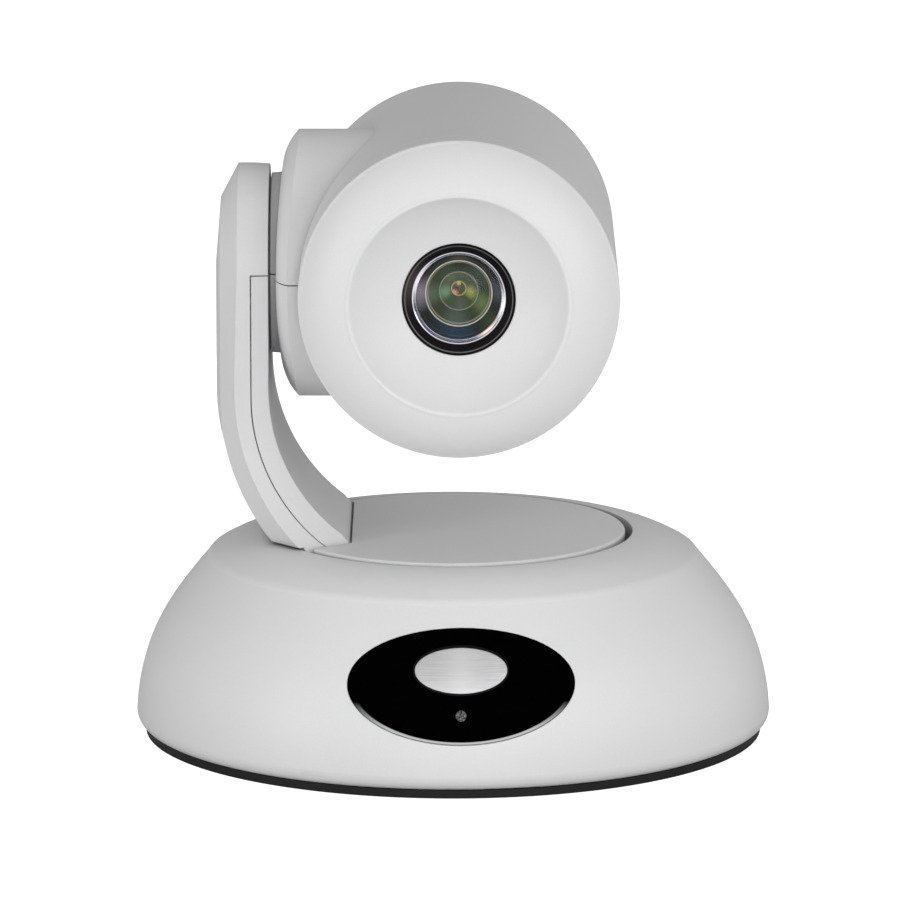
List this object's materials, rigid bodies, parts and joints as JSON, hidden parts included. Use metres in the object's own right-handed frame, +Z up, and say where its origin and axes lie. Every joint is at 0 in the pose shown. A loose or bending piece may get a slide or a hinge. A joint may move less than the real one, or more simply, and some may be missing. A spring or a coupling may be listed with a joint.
{
  "type": "ptz camera",
  "caption": "Pan-tilt-zoom conference camera: domed round base, turntable with one curved side arm and a barrel head with a dished front around the lens.",
  "frame": {"origin": "where the pan axis meets the surface that the rubber feet rest on", "axes": "+Z up along the pan axis, -Y towards the lens and the oval window, -X towards the side arm"},
  "size_m": [0.2, 0.2, 0.1975],
  "materials": {
    "shell_plastic": "fine textured off-white moulded plastic",
    "black_metal": "satin black powder coat",
    "rubber_pad": "matt",
    "brass_part": "machined",
    "bearing_bronze": "sintered",
    "plate_steel": "zinc plated",
    "motor_steel": "satin",
    "circuit_board": "solder mask",
    "chip_black": "moulded epoxy",
    "socket_metal": "tinned steel",
    "socket_plastic": "moulded",
    "dial_plastic": "moulded",
    "screw_steel": "plated",
    "window_black": "polished",
    "dark_trim": "semi gloss",
    "badge_metal": "brushed",
    "sensor_tint": "tinted",
    "gear_metal": "cut teeth",
    "gear_plastic": "acetal",
    "machined_alloy": "machined",
    "ribbon_film": "polyimide film",
    "black_plastic": "anti-reflection matt",
    "bright_ring": "polished",
    "lens_glass": "coated"
  },
  "bodies": {
    "base": {"base_shell": "shell_plastic", "bottom_plate": "black_metal", "rubber_feet": "rubber_pad", "tripod_insert": "brass_part", "base_frame": "plate_steel", "pan_bearing": "bearing_bronze", "pan_motor": "motor_steel", "main_board": "circuit_board", "board_chips": "chip_black", "network_jack": "socket_metal", "serial_jack": "socket_metal", "video_jack": "socket_metal", "usb_jack": "socket_metal", "power_jack": "socket_plastic", "mode_switch": "socket_plastic", "connector_panel": "black_metal", "panel_screws": "screw_steel", "oval_window": "window_black", "badge_ring": "dark_trim", "badge_plate": "badge_metal", "ir_receiver": "sensor_tint", "front_board": "circuit_board", "base_screws": "screw_steel"},
    "mode_selector": {"mode_dial": "dial_plastic"},
    "pan_drive": {"pan_pinion": "gear_metal"},
    "turntable": {"turntable_disc": "shell_plastic", "pan_hub": "machined_alloy", "pan_gear": "gear_plastic", "arm_outer_shell": "shell_plastic", "arm_inner_cover": "shell_plastic", "arm_frame": "plate_steel", "tilt_bearing": "bearing_bronze", "tilt_motor": "motor_steel", "arm_screws": "screw_steel", "arm_cable": "ribbon_film"},
    "tilt_drive": {"tilt_pinion": "gear_metal"},
    "head": {"head_top_shell": "shell_plastic", "head_bottom_shell": "shell_plastic", "front_bezel": "shell_plastic", "rear_cap": "shell_plastic", "head_frame": "plate_steel", "tilt_hub": "machined_alloy", "tilt_gear": "gear_plastic", "head_screws": "screw_steel", "head_cable": "ribbon_film", "module_case": "black_plastic", "lens_barrel": "black_plastic", "lens_trim": "dark_trim", "silver_ring": "bright_ring", "front_lens": "lens_glass", "lens_baffles": "black_plastic", "guide_rods": "machined_alloy", "lens_motors": "motor_steel", "sensor_board": "circuit_board", "image_sensor": "chip_black"},
    "zoom_group": {"zoom_carrier": "black_plastic", "zoom_lens": "lens_glass"},
    "focus_group": {"focus_carrier": "black_plastic"},
    "zoom_drive": {"zoom_screw": "machined_alloy"},
    "focus_drive": {"focus_screw": "machined_alloy"}
  },
  "joints": [
    {"name": "pan", "type": "hinge", "parent": "base", "child": "turntable", "pos_m": [0, 0, 0.05], "axis": [0, 0, 1], "range_deg": [-155, 155]},
    {"name": "tilt", "type": "hinge", "parent": "turntable", "child": "head", "pos_m": [0, 0.0083, 0.148], "axis": [-1, 0, 0], "range_deg": [-30, 90]},
    {"name": "pan_motor_spin", "type": "hinge", "parent": "base", "child": "pan_drive", "pos_m": [0, 0.0432, 0.05], "axis": [0, 0, 1], "range_deg": [-776, 776]},
    {"name": "tilt_motor_spin", "type": "hinge", "parent": "turntable", "child": "tilt_drive", "pos_m": [-0.065, 0.0083, 0.121], "axis": [-1, 0, 0], "range_deg": [-451, 151]},
    {"name": "mode_dial_turn", "type": "hinge", "parent": "base", "child": "mode_selector", "pos_m": [-0.0265, 0.074, 0.0166], "axis": [0, 1, 0], "continuous": true},
    {"name": "zoom", "type": "slide", "parent": "head", "child": "zoom_group", "axis": [0, 1, 0], "range_m": [0, 0.034]},
    {"name": "focus", "type": "slide", "parent": "head", "child": "focus_group", "axis": [0, 1, 0], "range_m": [-0.003, 0.01]},
    {"name": "zoom_screw_spin", "type": "hinge", "parent": "head", "child": "zoom_drive", "pos_m": [-0.0072, 0, 0.127], "axis": [0, 1, 0], "range_deg": [-5, 6125]},
    {"name": "focus_screw_spin", "type": "hinge", "parent": "head", "child": "focus_drive", "pos_m": [0.0108, 0, 0.127], "axis": [0, 1, 0], "range_deg": [-545, 1805]}
  ],
  "couplings": [
    {"joint": "pan_motor_spin", "follows": "pan", "ratio": -5},
    {"joint": "tilt_motor_spin", "follows": "tilt", "ratio": -5},
    {"joint": "zoom_screw_spin", "follows": "zoom", "rad_per_m": 3141.6},
    {"joint": "focus_screw_spin", "follows": "focus", "rad_per_m": 3141.6}
  ]
}
